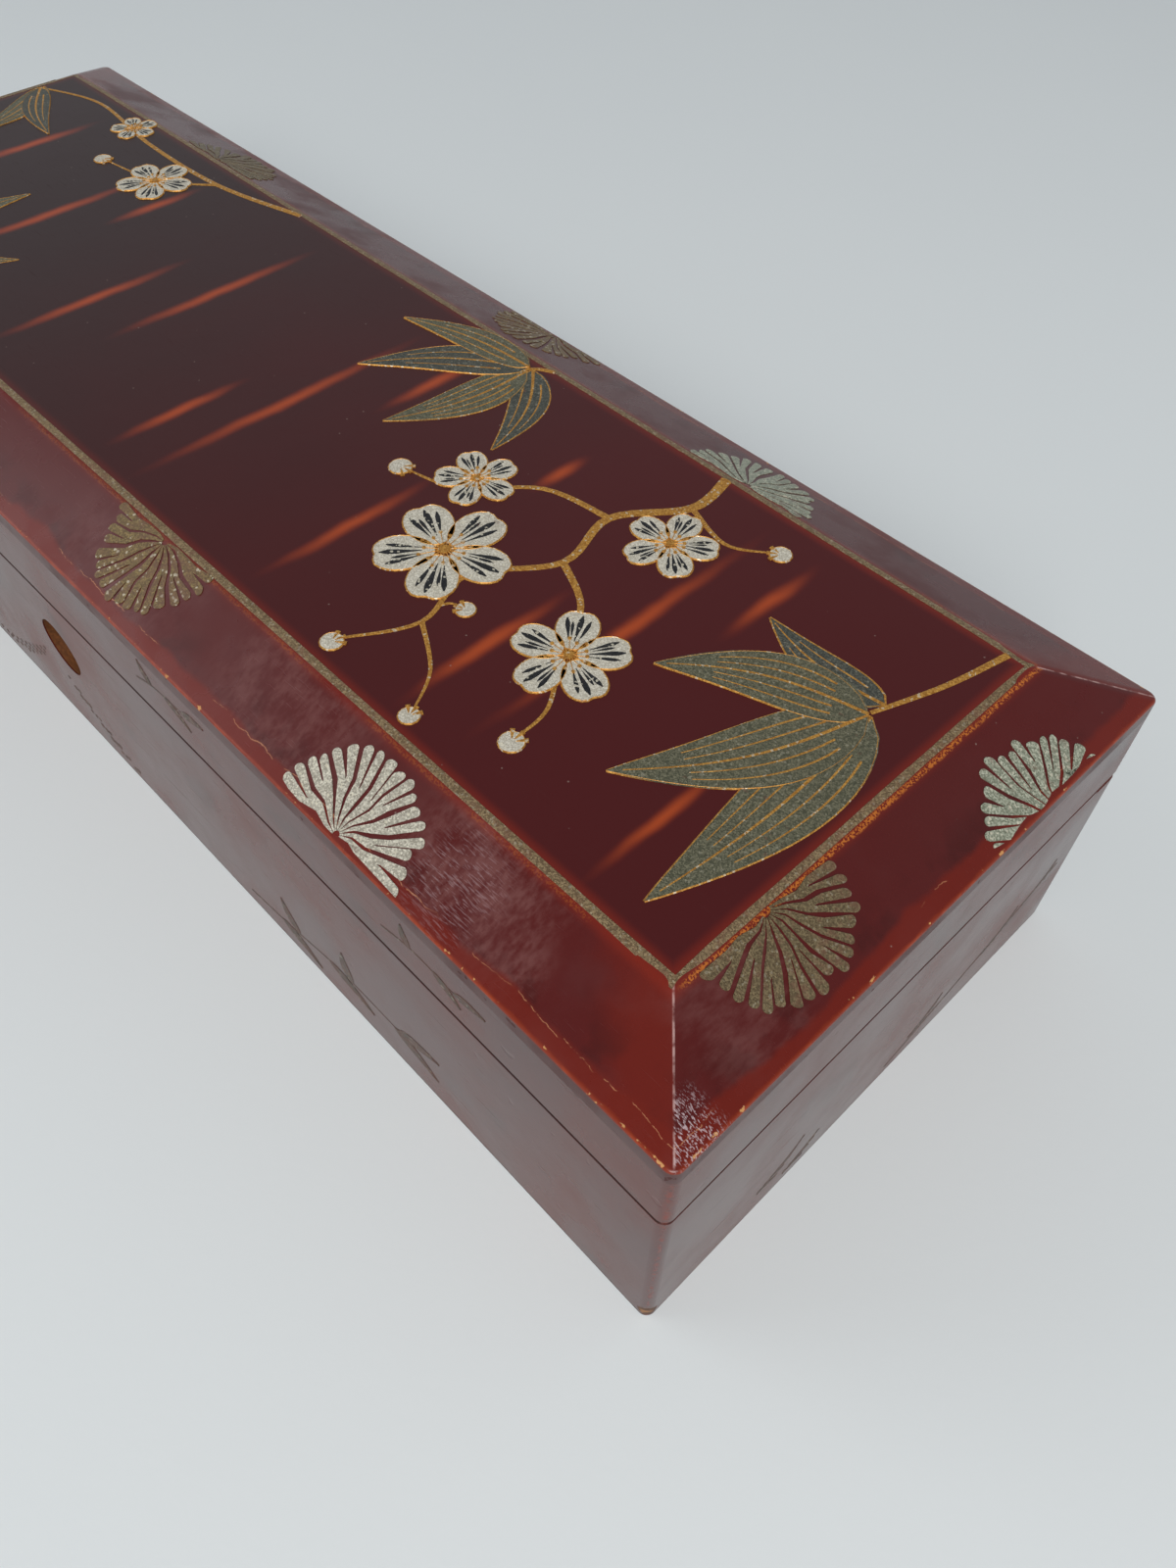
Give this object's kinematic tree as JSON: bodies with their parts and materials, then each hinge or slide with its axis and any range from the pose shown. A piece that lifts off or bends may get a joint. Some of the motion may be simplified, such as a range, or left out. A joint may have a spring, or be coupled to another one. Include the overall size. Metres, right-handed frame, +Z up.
{
  "type": "lacquered writing box",
  "caption": "Long lacquered ink box with a hinged bevelled lid, a lock behind a round keyhole, and a lift-out tray with inkstone, ink stick, water dropper and brushes.",
  "frame": {"origin": "middle of the walls' footprint, on the plane that the closed box stands on", "axes": "+X along the length, +Y from the front wall with the keyhole to the hinged back wall, +Z up"},
  "size_m": [0.288, 0.1014, 0.0612],
  "materials": {
    "lacquered_wood": "polished transparent red-brown lacquer with sprinkled gold",
    "board": "black lacquer, satin",
    "tray_wood": "black lacquer, satin",
    "brass": "aged brass",
    "steel": "dull steel",
    "stone": "dark slate, honed",
    "ink": "pressed soot ink, satin",
    "bronze": "patinated bronze",
    "bamboo": "polished bamboo",
    "horn": "polished horn",
    "hair": "natural hair"
  },
  "bodies": {
    "box": {"front_wall": "lacquered_wood", "back_wall": "lacquered_wood", "left_wall": "lacquered_wood", "right_wall": "lacquered_wood", "bottom_board": "board", "left_hinge_box_leaf": "brass", "right_hinge_box_leaf": "brass", "left_hinge_pin": "brass", "right_hinge_pin": "brass", "hinge_box_nails": "brass", "lock_plate": "brass", "lock_case": "brass", "lock_spring": "steel", "lock_nails": "brass"},
    "lid": {"lid_front_wall": "lacquered_wood", "lid_back_wall": "lacquered_wood", "lid_left_wall": "lacquered_wood", "lid_right_wall": "lacquered_wood", "lid_top": "lacquered_wood", "left_hinge_lid_leaf": "brass", "right_hinge_lid_leaf": "brass", "hinge_lid_nails": "brass", "strike_plate": "brass", "strike_nails": "brass"},
    "bolt": {"lock_bolt": "steel"},
    "tray": {"tray_bottom": "tray_wood", "tray_front_rail": "tray_wood", "tray_back_rail": "tray_wood", "tray_left_rail": "tray_wood", "tray_right_rail": "tray_wood", "brush_divider": "tray_wood", "inkstone_divider": "tray_wood", "dropper_divider": "tray_wood", "left_brush_rest": "tray_wood", "right_brush_rest": "tray_wood", "inkstone": "stone", "ink_stick": "ink", "water_dropper_shell": "bronze", "water_dropper_base": "bronze", "front_brush_shaft": "bamboo", "front_brush_collar": "horn", "front_brush_hair": "hair", "back_brush_shaft": "bamboo", "back_brush_collar": "horn", "back_brush_hair": "hair"}
  },
  "joints": [
    {"name": "lid_hinge", "type": "hinge", "parent": "box", "child": "lid", "pos_m": [0, 0.0495, 0.03895], "axis": [-1, 0, 0], "range_deg": [0, 105]},
    {"name": "bolt_slide", "type": "slide", "parent": "box", "child": "bolt", "axis": [1, 0, 0], "range_m": [0, 0.004]},
    {"name": "tray_lift", "type": "slide", "parent": "box", "child": "tray", "axis": [0, 0, 1], "range_m": [0, 0.025]}
  ]
}
